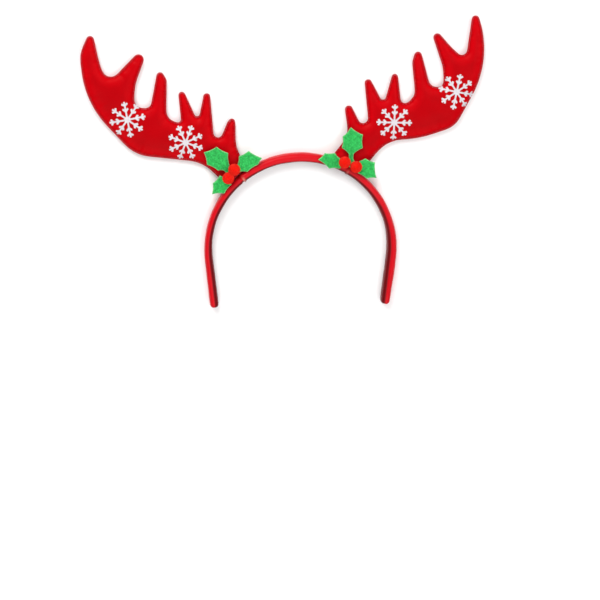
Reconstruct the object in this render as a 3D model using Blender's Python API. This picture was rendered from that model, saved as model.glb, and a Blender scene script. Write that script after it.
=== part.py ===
# Reindeer antler headband: a padded satin band with two stuffed satin antlers, four white
# snowflakes, two green felt holly sprigs and four red pompom berries.
#
# Metres, +Z up. The headband lies on its back. X runs across the head, +Y from the open end
# of the band to the antler tips, and +Z out of the front. The origin is on the rest face,
# under the middle of the band at the top of its arch.

from collections import namedtuple
from math import acos, atan2, ceil, cos, exp, hypot, inf, pi, radians, sin, sqrt
import random

import bmesh
import bpy

OBJECT = "reindeer_antler_headband"
MM = 0.001
GAP = 0.3 * MM                  # clear space between touching pieces

# Band: an arch of one radius, then two straight limbs that lean inwards
ARCH_RADIUS = 75.5 * MM         # to the middle of the padding
ARCH_END_TURN = 96.0            # degrees from the top of the arch to where a limb starts
ARCH_STEP = 6.0                 # degrees between sections
LIMB_LENGTH = 38.0 * MM
LIMB_STEPS = 5
BAND_WIDTH = 11.0 * MM          # front to back

# Thickness of the padding along the arch, from the top down to a limb
Padding = namedtuple("Padding", "turn thickness")
PADDING = [
    Padding(turn=0.0, thickness=6.8 * MM),
    Padding(turn=30.0, thickness=6.5 * MM),
    Padding(turn=54.0, thickness=5.8 * MM),
    Padding(turn=74.0, thickness=4.8 * MM),
    Padding(turn=96.0, thickness=5.6 * MM),
    Padding(turn=125.0, thickness=6.2 * MM),
]

# One quarter of the band's section, from the middle of its outer face to its front:
# fractions of the half thickness and of the half width
SECTION_QUARTER = [(1.0, 0.40), (0.80, 0.80), (0.42, 1.0)]

# How a limb closes at its free end: distance past the limb, and share of the full section
LimbEnd = namedtuple("LimbEnd", "past share")
LIMB_ENDS = [LimbEnd(1.4 * MM, 0.93), LimbEnd(2.4 * MM, 0.74), LimbEnd(3.0 * MM, 0.42)]

# Antlers: stuffed flat bodies with a seam all round
SEAM_HEIGHT = 4.5 * MM          # the seam above the rest face
PUFF_DEPTH = 4.5 * MM           # seam to the flat of either side
PUFF_REACH = 7.0 * MM           # how far in from the seam the side is full
FRONT_CROWN = 1.0 * MM          # extra fullness in the middle of the front
CROWN_REACH = 8.0 * MM
RING_INSETS = [0.8 * MM, 1.4 * MM]
GRID_STEP = 7.0 * MM
LINE_STEP = 6.0 * MM            # longest edge along the outline
ARC_STEP = 32.0                 # most degrees between two points on an arc
MERGE_DISTANCE = 0.25 * MM
SHEET_MERGE = 0.05 * MM

# The outline is a chain of arcs joined by straight lines. Each arc is given by its centre,
# out from the middle of the band and up from its top, and by its radius: above zero round
# a tine, below zero in a notch. The tines are numbered from the outer one in.
Arc = namedtuple("Arc", "place out up radius")
Antler = namedtuple("Antler", "side inner_turn outer_turn lift arcs")

LEFT_ARCS = [
    Arc("inner edge", 22.0, 16.0, -30.0),
    Arc("tine 6", 55.0, 28.9, 2.9),
    Arc("notch 5-6", 66.2, 20.3, -3.6),
    Arc("tine 5", 74.8, 49.8, 2.7),
    Arc("notch 4-5", 82.8, 36.3, -2.2),
    Arc("tine 4", 94.7, 51.2, 2.7),
    Arc("notch 3-4", 98.3, 31.8, -2.5),
    Arc("notch 3-4, outer side", 98.2, 38.7, -9.1),
    Arc("tine 3, shoulder", 109.8, 62.7, 3.2),
    Arc("tine 3", 111.7, 66.8, 2.9),
    Arc("notch 2-3", 123.9, 45.9, -4.7),
    Arc("notch 2-3, outer side", 125.2, 48.8, -7.6),
    Arc("neck of tine 2", 101.8, 53.5, -30.3),
    Arc("tine 2", 128.5, 80.1, 4.1),
    Arc("notch 1-2", 150.7, 74.0, -7.2),
    Arc("notch 1-2, outer side", 122.5, 88.8, -38.5),
    Arc("tine 1", 166.2, 96.0, 3.1),
    Arc("tine 1, shoulder", 151.4, 80.6, 23.0),
    Arc("outer edge", 98.0, 78.0, 76.0),
    Arc("lower corner", 117.6, 33.8, 32.0),
    Arc("lower edge", 94.3, -34.5, -33.0),
]

RIGHT_ARCS = [
    Arc("inner edge", 22.9, 21.5, -16.0),
    Arc("tine 6", 39.9, 38.0, 3.1),
    Arc("notch 5-6", 51.6, 30.6, -4.0),
    Arc("tine 5", 55.5, 59.4, 2.8),
    Arc("notch 4-5", 67.6, 48.1, -2.5),
    Arc("tine 4", 77.1, 63.8, 2.5),
    Arc("notch 3-4", 85.9, 46.5, -4.0),
    Arc("notch 3-4, outer side", 83.9, 52.2, -9.6),
    Arc("tine 3, shoulder", 94.6, 75.4, 3.5),
    Arc("tine 3", 95.7, 81.0, 3.0),
    Arc("notch 2-3", 111.4, 62.5, -7.0),
    Arc("notch 2-3, outer side", 112.5, 59.8, -4.4),
    Arc("neck of tine 2", 87.4, 65.6, -29.1),
    Arc("tine 2", 111.1, 95.3, 3.2),
    Arc("notch 1-2, inner side", 148.4, 113.9, -37.0),
    Arc("notch 1-2", 131.3, 85.3, -4.2),
    Arc("tine 1", 141.6, 109.6, 3.0),
    Arc("outer edge", 71.5, 84.0, 77.6),
    Arc("lower corner", 113.1, 39.5, 20.0),
    Arc("lower side", 81.7, 102.9, 90.0),
    Arc("lower edge", 85.0, -15.1, -28.0),
]

# The turns are where the antler's base starts and ends on the band, in degrees from the top
# of the arch; lift is how far the outer end curls up off the surface
ANTLERS = {
    "left": Antler(side=-1, inner_turn=31.7, outer_turn=48.5, lift=1.5 * MM, arcs=LEFT_ARCS),
    "right": Antler(side=1, inner_turn=19.7, outer_turn=38.1, lift=3.0 * MM, arcs=RIGHT_ARCS),
}
LIFT_START = 95.0 * MM          # out from the middle, where the curl begins
LIFT_LENGTH = 75.0 * MM

# Snowflakes: eight arms with a pair of twigs and a three-lobed tip
FLAKE_REACH = 14.8 * MM
FLAKE_THICKNESS = 0.5 * MM
FLAKE_CLEAR = 0.5 * MM          # over the antler's front, whose facets stand a little proud
FLAKE_EDGE_MARGIN = 0.8 * MM    # least distance from an arm to the antler's seam
FLAKE_GRID = 4.5 * MM
FLAKE_TRIM = 0.2 * MM           # step by which an arm that meets the margin is shortened
FLAKE_ARMS = 8
Flake = namedtuple("Flake", "antler place x y turn")
FLAKES = [
    Flake("left", "outer", -138.5 * MM, 32.8 * MM, 9.5),
    Flake("left", "inner", -92.7 * MM, 13.7 * MM, 24.6),
    Flake("right", "outer", 128.1 * MM, 51.5 * MM, 37.5),
    Flake("right", "inner", 76.4 * MM, 27.3 * MM, 0.0),
]
# Half of one arm, as fractions of the reach: along the arm and out to its side
FLAKE_HALF_ARM = [
    (0.17, 0.055), (0.43, 0.055), (0.56, 0.180), (0.65, 0.130), (0.59, 0.055),
    (0.75, 0.055), (0.84, 0.185), (0.93, 0.145), (0.90, 0.065), (0.99, 0.060),
]

# Holly: three leaves cut in one piece of felt. Each corner of a leaf is given by its reach
# from the middle of the sprig in mm and its heading in degrees, going round to the left.
FELT_THICKNESS = 1.3 * MM
FELT_GRID = 6.0 * MM
STEM_HALF_WIDTH = 1.8 * MM
STEM_FOOT = 4.2 * MM
BAY_DEPTH = 0.10                # hollow between two corners, as a share of their distance
LEAF_RISE = 1.6 * MM            # how far a leaf's tip lifts
LEAF_RISE_START = 9.0 * MM
LEAF_RISE_LENGTH = 20.0 * MM
SPRIG_LEAVES_BAND = 4.5 * MM    # past the band's middle line, where the felt starts to dip
SPRIG_ON_ANTLER = 9.5 * MM      # and where it lies down on the antler
Corner = namedtuple("Corner", "reach heading")
Leaf = namedtuple(
    "Leaf", "base_right low_right high_right tip high_left low_left base_left")
Sprig = namedtuple("Sprig", "x y leaves")
SPRIGS = {
    "left": Sprig(-56.1 * MM, -12.0 * MM, [
        Leaf(Corner(8.2, 14.6), Corner(12.9, 6.3), Corner(23.1, 19.2), Corner(28.2, 27.3),
             Corner(23.5, 53.1), Corner(15.6, 66.6), Corner(9.6, 56.6)),
        Leaf(Corner(7.2, 101.3), Corner(17.2, 97.7), Corner(25.3, 117.3), Corner(28.6, 140.4),
             Corner(21.1, 158.2), Corner(11.0, 165.3), Corner(7.1, 155.2)),
        Leaf(Corner(6.0, 208.7), Corner(9.3, 186.7), Corner(16.9, 206.3), Corner(23.0, 226.0),
             Corner(17.0, 249.6), Corner(8.5, 271.0), Corner(5.6, 244.9)),
    ]),
    "right": Sprig(41.4 * MM, -5.8 * MM, [
        Leaf(Corner(5.5, -48.1), Corner(8.8, -54.0), Corner(17.2, -43.1), Corner(23.8, -28.8),
             Corner(19.5, 4.0), Corner(12.5, 22.7), Corner(7.6, 21.0)),
        Leaf(Corner(8.6, 77.9), Corner(16.3, 54.9), Corner(26.1, 69.3), Corner(30.8, 91.4),
             Corner(24.1, 107.7), Corner(15.7, 120.0), Corner(8.7, 103.4)),
        Leaf(Corner(11.4, 150.5), Corner(16.6, 144.1), Corner(23.8, 155.5), Corner(27.9, 170.2),
             Corner(18.5, 189.3), Corner(9.9, 199.6), Corner(6.4, 186.5)),
    ]),
}

# Berries: pompoms pressed a little flat on the felt and against each other
BERRY_RADIUS = 4.9 * MM
BERRY_FLATTEN = 0.90
BERRY_TUFT = 0.16 * MM          # how far single tufts stand out or in
BERRY_SEED = 7
Berry = namedtuple("Berry", "sprig place x y")
BERRIES = [
    Berry("left", "upper", -54.0 * MM, -7.7 * MM),
    Berry("left", "lower", -58.8 * MM, -14.5 * MM),
    Berry("right", "inner", 35.4 * MM, -3.0 * MM),
    Berry("right", "outer", 44.7 * MM, -6.9 * MM),
]

# Finishes
Finish = namedtuple("Finish", "colour roughness sheen")
FINISHES = {
    "red_satin": Finish((0.60, 0.002, 0.010), 0.45, 0.4),
    "white_print": Finish((0.86, 0.86, 0.88), 0.60, 0.0),
    "green_felt": Finish((0.03, 0.50, 0.09), 0.95, 0.3),
    "red_pompom": Finish((0.90, 0.012, 0.004), 0.95, 0.5),
}


def make_finish(name):
    """A Principled material in one of the named finishes."""
    finish = FINISHES[name]
    material = bpy.data.materials.new(name)
    material.use_nodes = True
    shader = material.node_tree.nodes["Principled BSDF"]
    shader.inputs["Base Color"].default_value = (*finish.colour, 1.0)
    shader.inputs["Roughness"].default_value = finish.roughness
    shader.inputs["Metallic"].default_value = 0.0
    shader.inputs["Sheen Weight"].default_value = finish.sheen
    return material


def add_object(name, mesh_builder, finish):
    """Turn a bmesh into a named object of the headband, in one of the finishes."""
    mesh = bpy.data.meshes.new(name)
    mesh_builder.to_mesh(mesh)
    mesh_builder.free()
    mesh.materials.append(finish)
    obj = bpy.data.objects.new(name, mesh)
    bpy.data.collections[OBJECT].objects.link(obj)
    return obj


def padding_at(turn):
    """Thickness of the band at a turn from the top of the arch, in degrees."""
    turn = abs(turn)
    for low, high in zip(PADDING, PADDING[1:]):
        if turn <= high.turn:
            share = (turn - low.turn) / (high.turn - low.turn)
            return low.thickness + share * (high.thickness - low.thickness)
    return PADDING[-1].thickness


def on_arch(radius, turn):
    """The point at a radius and a turn from the top, about the middle of the arch."""
    angle = radians(turn)
    return radius * sin(angle), radius * cos(angle) - ARCH_RADIUS


def section_corners():
    """The band's section all round: shares of the half thickness and half width."""
    quarter = SECTION_QUARTER
    front_inner = [(-across, along) for across, along in reversed(quarter)]
    back_inner = [(-across, -along) for across, along in quarter]
    back_outer = [(across, -along) for across, along in reversed(quarter)]
    return quarter + front_inner + back_inner + back_outer


def band_stations():
    """Place, outward direction and size of each section along the band, left to right."""
    turns = []
    turn = ARCH_STEP / 2
    while turn < ARCH_END_TURN:
        turns.append(turn)
        turn += ARCH_STEP
    right = []
    for turn in turns:
        x, y = on_arch(ARCH_RADIUS, turn)
        right.append((x, y, radians(turn), padding_at(turn), 1.0))
    end_angle = radians(ARCH_END_TURN)
    start_x, start_y = on_arch(ARCH_RADIUS, ARCH_END_TURN)
    limb = [(LIMB_LENGTH * k / LIMB_STEPS, 1.0) for k in range(LIMB_STEPS + 1)]
    limb += [(LIMB_LENGTH + end.past, end.share) for end in LIMB_ENDS]
    for distance, share in limb:
        x = start_x + distance * cos(end_angle)
        y = start_y - distance * sin(end_angle)
        turn_like = ARCH_END_TURN + distance / ARCH_RADIUS * 180.0 / pi
        right.append((x, y, end_angle, padding_at(turn_like), share))
    left = [(-x, y, -angle, size, share) for x, y, angle, size, share in reversed(right)]
    return left + right


def build_band(finish):
    """The padded hoop, lofted through its sections and closed at both ends."""
    corners = section_corners()
    bm = bmesh.new()
    rings = []
    for x, y, angle, thickness, share in band_stations():
        ring = []
        for across, along in corners:
            out = across * thickness / 2 * share
            z = BAND_WIDTH / 2 * (1 + along * share)
            ring.append(bm.verts.new((x + out * sin(angle), y + out * cos(angle), z)))
        rings.append(ring)
    count = len(corners)
    for ring, after in zip(rings, rings[1:]):
        for k in range(count):
            bm.faces.new((ring[k], ring[(k + 1) % count], after[(k + 1) % count], after[k]))
    bm.faces.new(rings[0])
    bm.faces.new(rings[-1])
    bmesh.ops.recalc_face_normals(bm, faces=bm.faces[:])
    return add_object("band", bm, finish)


def subdivided(points, longest):
    """The points with even steps added wherever two of them lie further apart."""
    result = [points[0]]
    for start, end in zip(points, points[1:]):
        steps = max(1, ceil(hypot(end[0] - start[0], end[1] - start[1]) / longest))
        for k in range(1, steps + 1):
            share = k / steps
            result.append((start[0] + share * (end[0] - start[0]),
                           start[1] + share * (end[1] - start[1])))
    return result


def base_point(antler, turn):
    """A point of the antler's base, just clear of the band's outer face, as out and up."""
    return on_arch(ARCH_RADIUS + padding_at(turn) / 2 + GAP, turn)


def free_edge(antler):
    """The antler's outline from the inner end of its base round the tines to the outer end."""
    start = base_point(antler, antler.inner_turn)
    end = base_point(antler, antler.outer_turn)
    chain = [(start[0], start[1], 0.0)]
    chain += [(arc.out * MM, arc.up * MM, arc.radius * MM) for arc in antler.arcs]
    chain.append((end[0], end[1], 0.0))

    # The heading of the side normal on the line from each arc to the next
    normals = []
    for (x0, y0, r0), (x1, y1, r1) in zip(chain, chain[1:]):
        distance = hypot(x1 - x0, y1 - y0)
        normals.append(atan2(y1 - y0, x1 - x0) - acos(max(-1.0, min(1.0, (r1 - r0) / distance))))

    points = [start]
    for (x, y, radius), before, after in zip(chain[1:-1], normals, normals[1:]):
        sweep = (after - before + pi) % (2 * pi) - pi
        steps = max(1, ceil(abs(sweep) / radians(ARC_STEP)))
        if abs(radius) * abs(sweep) / steps > LINE_STEP:
            steps = ceil(abs(radius) * abs(sweep) / LINE_STEP)
        for k in range(steps + 1):
            angle = before + sweep * k / steps
            points.append((x - radius * cos(angle), y - radius * sin(angle)))
    points.append(end)
    points = subdivided(points, LINE_STEP)
    return [(antler.side * out, up) for out, up in points]


def base_edge(antler):
    """The antler's sewn edge along the band, from its outer end back to its inner end."""
    steps = ceil((antler.outer_turn - antler.inner_turn) / (ARCH_STEP / 2))
    turns = [antler.outer_turn + (antler.inner_turn - antler.outer_turn) * k / steps
             for k in range(steps + 1)]
    return [(antler.side * out, up) for out, up in (base_point(antler, t) for t in turns)]


def distance_to_edge(x, y, edge):
    """Distance from a point to the nearest stretch of an open line of points."""
    nearest = inf
    for (x0, y0), (x1, y1) in zip(edge, edge[1:]):
        dx, dy = x1 - x0, y1 - y0
        length_squared = dx * dx + dy * dy
        if length_squared == 0.0:
            continue
        share = max(0.0, min(1.0, ((x - x0) * dx + (y - y0) * dy) / length_squared))
        nearest = min(nearest, hypot(x - x0 - share * dx, y - y0 - share * dy))
    return nearest


def inside(x, y, outline):
    """Whether a point lies inside a closed outline."""
    found = False
    for (x0, y0), (x1, y1) in zip(outline, outline[1:] + outline[:1]):
        if (y0 > y) != (y1 > y) and x < x0 + (y - y0) * (x1 - x0) / (y1 - y0):
            found = not found
    return found


def puff(distance):
    """How far a stuffed side stands from the seam, at a distance in from it."""
    share = min(1.0, distance / PUFF_REACH)
    return PUFF_DEPTH * sqrt(1.0 - (1.0 - share) ** 2)


def lift_at(antler, x):
    """How far the antler's outer end has curled up at this distance from the middle."""
    share = max(0.0, (abs(x) - LIFT_START) / LIFT_LENGTH)
    return antler.lift * share ** 2


def front_height(antler, x, y, edge, clear=0.0):
    """Height over the rest face of the antler's front, or of what lies clear of it."""
    distance = distance_to_edge(x, y, edge) + clear
    crown = FRONT_CROWN * (1.0 - exp(-max(0.0, distance - PUFF_REACH) / CROWN_REACH))
    return SEAM_HEIGHT + puff(distance) + crown + lift_at(antler, x) + clear


def back_height(antler, x, y, edge):
    """Height of the antler's back over the rest face, which it touches where it is full."""
    return SEAM_HEIGHT - puff(distance_to_edge(x, y, edge)) + lift_at(antler, x)


def cut_grid(bm, face, step):
    """Cut a flat face along the lines of a square grid."""
    faces = {face}
    xs = [v.co.x for v in face.verts]
    ys = [v.co.y for v in face.verts]
    for low, high, normal in ((min(xs), max(xs), (1, 0, 0)), (min(ys), max(ys), (0, 1, 0))):
        lines = ceil((high - low) / step)
        for k in range(1, lines):
            at = low + (high - low) * k / lines
            geometry = list({v for f in faces for v in f.verts})
            geometry += list({e for f in faces for e in f.edges}) + list(faces)
            cut = bmesh.ops.bisect_plane(bm, geom=geometry, plane_no=normal,
                                         plane_co=(at * normal[0], at * normal[1], 0.0))
            faces = {f for f in cut["geom"] if isinstance(f, bmesh.types.BMFace)}


def build_antler(name, antler, finish):
    """A stuffed antler: its flat shape, a front and a back puffed out from the seam."""
    edge = free_edge(antler)
    base = base_edge(antler)
    outline = edge + base[1:-1]
    bm = bmesh.new()
    rim = [bm.verts.new((x, y, 0.0)) for x, y in outline]
    base_rim = rim[len(edge) - 1:] + rim[:1]
    middle = bm.faces.new(rim)
    for width in RING_INSETS:
        bmesh.ops.inset_region(bm, faces=[middle], thickness=width, use_boundary=True,
                               use_even_offset=True)
    cut_grid(bm, middle, GRID_STEP)
    inner = [v for v in bm.verts if v not in set(rim)]
    bmesh.ops.remove_doubles(bm, verts=inner, dist=MERGE_DISTANCE)

    front = bm.verts[:]
    copy = bmesh.ops.duplicate(bm, geom=bm.verts[:] + bm.edges[:] + bm.faces[:])
    back = [v for v in copy["geom"] if isinstance(v, bmesh.types.BMVert)]
    twin = copy["vert_map"]
    for vert in front:
        vert.co.z = front_height(antler, vert.co.x, vert.co.y, edge)
    for vert in back:
        vert.co.z = back_height(antler, vert.co.x, vert.co.y, edge)
    base_back = [twin[v] for v in base_rim]
    for k in range(len(base_rim) - 1):
        bm.faces.new((base_rim[k], base_rim[k + 1], base_back[k + 1], base_back[k]))
    bmesh.ops.weld_verts(bm, targetmap={twin[v]: v for v in rim[:len(edge)]})
    bmesh.ops.triangulate(bm, faces=bm.faces[:])
    bmesh.ops.recalc_face_normals(bm, faces=bm.faces[:])
    return add_object(name, bm, finish)


def build_sheet(name, outline, step, thickness, height, finish):
    """A thin piece cut to an outline, whose underside lies at a height given at each point."""
    bm = bmesh.new()
    cut_grid(bm, bm.faces.new([bm.verts.new((x, y, 0.0)) for x, y in outline]), step)
    bmesh.ops.remove_doubles(bm, verts=bm.verts[:], dist=SHEET_MERGE)
    flat = bmesh.ops.triangulate(bm, faces=bm.faces[:])["faces"]
    low = bm.verts[:]
    raised = bmesh.ops.extrude_face_region(bm, geom=flat, use_keep_orig=True)
    high = [v for v in raised["geom"] if isinstance(v, bmesh.types.BMVert)]
    for vert in low:
        vert.co.z = height(vert.co.x, vert.co.y)
    for vert in high:
        vert.co.z = height(vert.co.x, vert.co.y) + thickness
    bmesh.ops.triangulate(bm, faces=bm.faces[:])
    bmesh.ops.recalc_face_normals(bm, faces=bm.faces[:])
    return add_object(name, bm, finish)


def flake_arm(flake, heading, reach):
    """One arm's outline, from its right side round the tip to its left side."""
    along = (cos(heading), sin(heading))
    left = [(reach * a, reach * b) for a, b in reversed(FLAKE_HALF_ARM)]
    right = [(reach * a, -reach * b) for a, b in FLAKE_HALF_ARM]
    return [(flake.x + a * along[0] - b * along[1], flake.y + a * along[1] + b * along[0])
            for a, b in right + left]


def flake_outline(flake, edge, outline):
    """The snowflake's outline; an arm that would pass the antler's seam is shorter."""
    points = []
    for k in range(FLAKE_ARMS):
        heading = radians(flake.turn) + 2 * pi * k / FLAKE_ARMS
        reach = FLAKE_REACH
        arm = flake_arm(flake, heading, reach)
        while any(not inside(x, y, outline) or distance_to_edge(x, y, edge) < FLAKE_EDGE_MARGIN
                  for x, y in arm):
            reach -= FLAKE_TRIM
            arm = flake_arm(flake, heading, reach)
        points += arm
    return points


def build_flake(flake, finish):
    """A thin snowflake that follows the antler's front."""
    antler = ANTLERS[flake.antler]
    edge = free_edge(antler)
    outline = flake_outline(flake, edge, edge + base_edge(antler)[1:-1])

    def height(x, y):
        return front_height(antler, x, y, edge, clear=FLAKE_CLEAR)

    return build_sheet(f"snowflake_{flake.antler}_{flake.place}", outline, FLAKE_GRID,
                       FLAKE_THICKNESS, height, finish)


def polar(reach, heading):
    """A point at a reach and a heading in degrees from the middle of a sprig."""
    return reach * cos(radians(heading)), reach * sin(radians(heading))


def bay(start, end):
    """The middle of the hollow between two corners, drawn in to the left, where the leaf is."""
    dx, dy = end[0] - start[0], end[1] - start[1]
    return (start[0] + end[0]) / 2 - BAY_DEPTH * dy, (start[1] + end[1]) / 2 + BAY_DEPTH * dx


def leaf_outline(leaf):
    """A holly leaf from its stem round to its stem, about the middle of the sprig."""
    corners = [polar(corner.reach * MM, corner.heading) for corner in leaf]
    axis = polar(1.0, leaf.tip.heading)
    right_foot, left_foot = [(STEM_FOOT * axis[0] - side * STEM_HALF_WIDTH * axis[1],
                              STEM_FOOT * axis[1] + side * STEM_HALF_WIDTH * axis[0])
                             for side in (-1, 1)]
    points = [right_foot, corners[0]]
    for start, end in zip(corners, corners[1:]):
        points += [bay(start, end), end]
    return points + [left_foot]


def sprig_height(sprig, x, y):
    """Height of a sprig's underside: on the band's front, then on the antler, tips lifting."""
    past_band = hypot(x, y + ARCH_RADIUS) - ARCH_RADIUS
    dip = (past_band - SPRIG_LEAVES_BAND) / (SPRIG_ON_ANTLER - SPRIG_LEAVES_BAND)
    dip = max(0.0, min(1.0, dip))
    antler_front = SEAM_HEIGHT + PUFF_DEPTH + FRONT_CROWN
    rise = max(0.0, (hypot(x - sprig.x, y - sprig.y) - LEAF_RISE_START) / LEAF_RISE_LENGTH)
    return BAND_WIDTH + dip * (antler_front - BAND_WIDTH) + GAP + LEAF_RISE * rise ** 2


def build_holly(name, sprig, finish):
    """A three-leaved felt sprig glued over the band and the foot of the antler."""
    outline = []
    for leaf in sprig.leaves:
        outline += [(sprig.x + x, sprig.y + y) for x, y in leaf_outline(leaf)]

    def height(x, y):
        return sprig_height(sprig, x, y)

    return build_sheet(name, outline, FELT_GRID, FELT_THICKNESS, height, finish)


def build_berry(berry, neighbour, finish):
    """A pompom berry, flat where it is pressed against its neighbour."""
    tufts = random.Random(BERRY_SEED)
    bm = bmesh.new()
    bmesh.ops.create_icosphere(bm, subdivisions=3, radius=BERRY_RADIUS)
    for vert in bm.verts:
        vert.co *= 1.0 + tufts.uniform(-1.0, 1.0) * BERRY_TUFT / BERRY_RADIUS
        vert.co.z *= BERRY_FLATTEN
    lowest = min(v.co.z for v in bm.verts)
    seat = sprig_height(SPRIGS[berry.sprig], berry.x, berry.y) + FELT_THICKNESS + GAP
    bmesh.ops.translate(bm, verts=bm.verts[:], vec=(berry.x, berry.y, seat - lowest))
    towards = (neighbour.x - berry.x, neighbour.y - berry.y, 0.0)
    distance = hypot(towards[0], towards[1])
    reach = (distance - GAP) / 2 / distance
    cut = bmesh.ops.bisect_plane(
        bm, geom=bm.verts[:] + bm.edges[:] + bm.faces[:], plane_no=towards, clear_outer=True,
        plane_co=(berry.x + reach * towards[0], berry.y + reach * towards[1], 0.0))
    open_edges = [e for e in cut["geom_cut"] if isinstance(e, bmesh.types.BMEdge)]
    if open_edges:
        bmesh.ops.holes_fill(bm, edges=open_edges)
    bmesh.ops.triangulate(bm, faces=bm.faces[:])
    bmesh.ops.recalc_face_normals(bm, faces=bm.faces[:])
    obj = add_object(f"berry_{berry.sprig}_{berry.place}", bm, finish)
    obj.data.shade_smooth()
    return obj


def main():
    for obj in list(bpy.data.objects):
        bpy.data.objects.remove(obj, do_unlink=True)
    collection = bpy.data.collections.new(OBJECT)
    bpy.context.scene.collection.children.link(collection)
    finishes = {name: make_finish(name) for name in FINISHES}

    band = build_band(finishes["red_satin"])
    band.data.shade_smooth()
    for side, antler in ANTLERS.items():
        build_antler(f"antler_{side}", antler, finishes["red_satin"]).data.shade_smooth()
    for flake in FLAKES:
        build_flake(flake, finishes["white_print"])
    for side, sprig in SPRIGS.items():
        build_holly(f"holly_{side}", sprig, finishes["green_felt"])
    for berry, neighbour in zip(BERRIES, (BERRIES[1], BERRIES[0], BERRIES[3], BERRIES[2])):
        build_berry(berry, neighbour, finishes["red_pompom"])


main()
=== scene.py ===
"""Looks of a reindeer antler headband: padded satin band, two stuffed antlers with a sewn
edge, four white snowflakes, two felt holly sprigs and four pompom berries, on a pale floor."""

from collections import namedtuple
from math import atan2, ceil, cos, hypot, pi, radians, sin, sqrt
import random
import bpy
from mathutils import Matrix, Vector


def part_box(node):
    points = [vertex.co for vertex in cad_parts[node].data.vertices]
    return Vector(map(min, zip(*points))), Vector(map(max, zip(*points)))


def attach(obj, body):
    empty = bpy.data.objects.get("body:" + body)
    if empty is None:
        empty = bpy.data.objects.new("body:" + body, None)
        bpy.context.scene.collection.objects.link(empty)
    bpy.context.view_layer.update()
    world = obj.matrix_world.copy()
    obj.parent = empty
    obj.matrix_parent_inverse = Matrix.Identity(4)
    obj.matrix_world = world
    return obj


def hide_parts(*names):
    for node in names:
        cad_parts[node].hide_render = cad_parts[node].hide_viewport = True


bl_info = {
    "name": "Reindeer Antler Headband",
    "version": (1, 0, 0),
    "blender": (4, 5, 0),
    "location": "View3D > Sidebar > Headband",
    "description": "Dresses the packed headband in satin, felt and pompoms",
    "category": "Object",
}

import bmesh
import bpy
from bpy.props import FloatProperty, FloatVectorProperty, IntProperty, PointerProperty
from bpy.types import Operator, Panel, PropertyGroup
from mathutils import Matrix, Vector, noise
from mathutils.bvhtree import BVHTree
from mathutils.kdtree import KDTree
import numpy as np

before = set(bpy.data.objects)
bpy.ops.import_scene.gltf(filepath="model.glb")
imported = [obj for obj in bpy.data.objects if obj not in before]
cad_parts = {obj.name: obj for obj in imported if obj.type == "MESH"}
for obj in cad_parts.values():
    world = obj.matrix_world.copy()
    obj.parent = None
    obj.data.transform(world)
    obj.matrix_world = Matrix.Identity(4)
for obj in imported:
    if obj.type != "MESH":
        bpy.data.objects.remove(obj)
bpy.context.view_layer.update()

MM = 0.001
BODY = "root"
MERGE = 0.001 * MM

# The frame that the band gives: its arch runs about one centre
BAND_LOW, BAND_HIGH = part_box("band")
ARCH_RADIUS = 75.5 * MM
ARCH_END_TURN = 96.0
BAND_WIDTH = BAND_HIGH.z - BAND_LOW.z
BAND_JOIN_FACE = radians(40.0)
BAND_JOIN_SHAPE = radians(60.0)

# Along the band from the top of its arch: where a change starts, and over what length it grows
INNER_SHADE_RAMP = 1.1 * ARCH_RADIUS
LIMB_START = 0.7 * ARCH_RADIUS
LIMB_RAMP = 0.7 * ARCH_RADIUS
END_START = 1.8 * ARCH_RADIUS
END_RAMP = 0.5 * ARCH_RADIUS

# Out from the band's middle line
INNER_SHADE_TOP = -2.7 * MM          # where the painted shade of the inner face ends at the top of the arch
INNER_SHADE_SHIFT = 2.4 * MM         # and how much farther out on the limbs
INNER_SHADE_BLEND = 0.9 * MM

# How much fuller than the solid the cover is, its wrinkles and its threads
BAND_FULLER = 0.35 * MM
LIMB_FULLER = 0.3 * MM
WRINKLE_LENGTH = 9.0 * MM
WRINKLE_WIDTH = 4.0 * MM
WRINKLE_HEIGHT = 0.16 * MM
CLOTH_RADIUS = 4.2 * MM         # of the round section that the cloth's threads are laid on

# Sewn tucks, by their turn from the top of the arch in degrees, each with a furrow beside it
Tuck = namedtuple("Tuck", "turn size")
TUCKS = [Tuck(-38.1, 1.0), Tuck(31.2, 0.5)]
TUCK_WIDTH = 0.8 * MM
FURROW_DEPTH = 0.7              # as a share of the tuck's height
FURROW_OFFSET = 1.7 * MM
FURROW_WIDTH = 0.9 * MM
FOLD_HIGHLIGHT_INWARD = 1.2 * MM          # from the middle line to where the painted highlight on the tuck is palest
FOLD_HIGHLIGHT_REACH = 1.8 * MM

# Antlers: the seam's height over the floor, and how far each outer end curls up off it
SEAM_HEIGHT = 4.5 * MM
LIFT = {"left": 1.5 * MM, "right": 3.0 * MM}
LIFT_START = 95.0 * MM
LIFT_LENGTH = 75.0 * MM
FACING_FRONT = 0.02             # least upward part of the normal of a face on the front
SLIVER = 0.5 * MM               # corners of the border that lie nearer are one
OUTLINE_STEP = 0.5 * MM
SMOOTH_PASSES = 3
CLOTH = {
    "quality": 4,
    "mass": 0.004,
    "air_damping": 4.0,
    "tension_stiffness": 4.0,
    "compression_stiffness": 4.0,
    "shear_stiffness": 2.0,
    "bending_stiffness": 0.02,
}

# Slow waves over an antler, and pleats that start at its seam
WAVE_LENGTH = 17.0 * MM
WAVE_HEIGHT = 0.55 * MM
WAVE_START = 5.0 * MM           # from the seam, where the waves are full
PLEAT_LENGTH = 2.6 * MM         # along the seam
PLEAT_RISE = 30.0 * MM          # over which a pleat changes with height
PLEAT_HEIGHT = 1.0 * MM
PLEAT_START = 1.0 * MM
PLEAT_REACH = 3.0 * MM
LEAST_HEIGHT = 0.05 * MM        # of the satin over the floor

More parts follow.
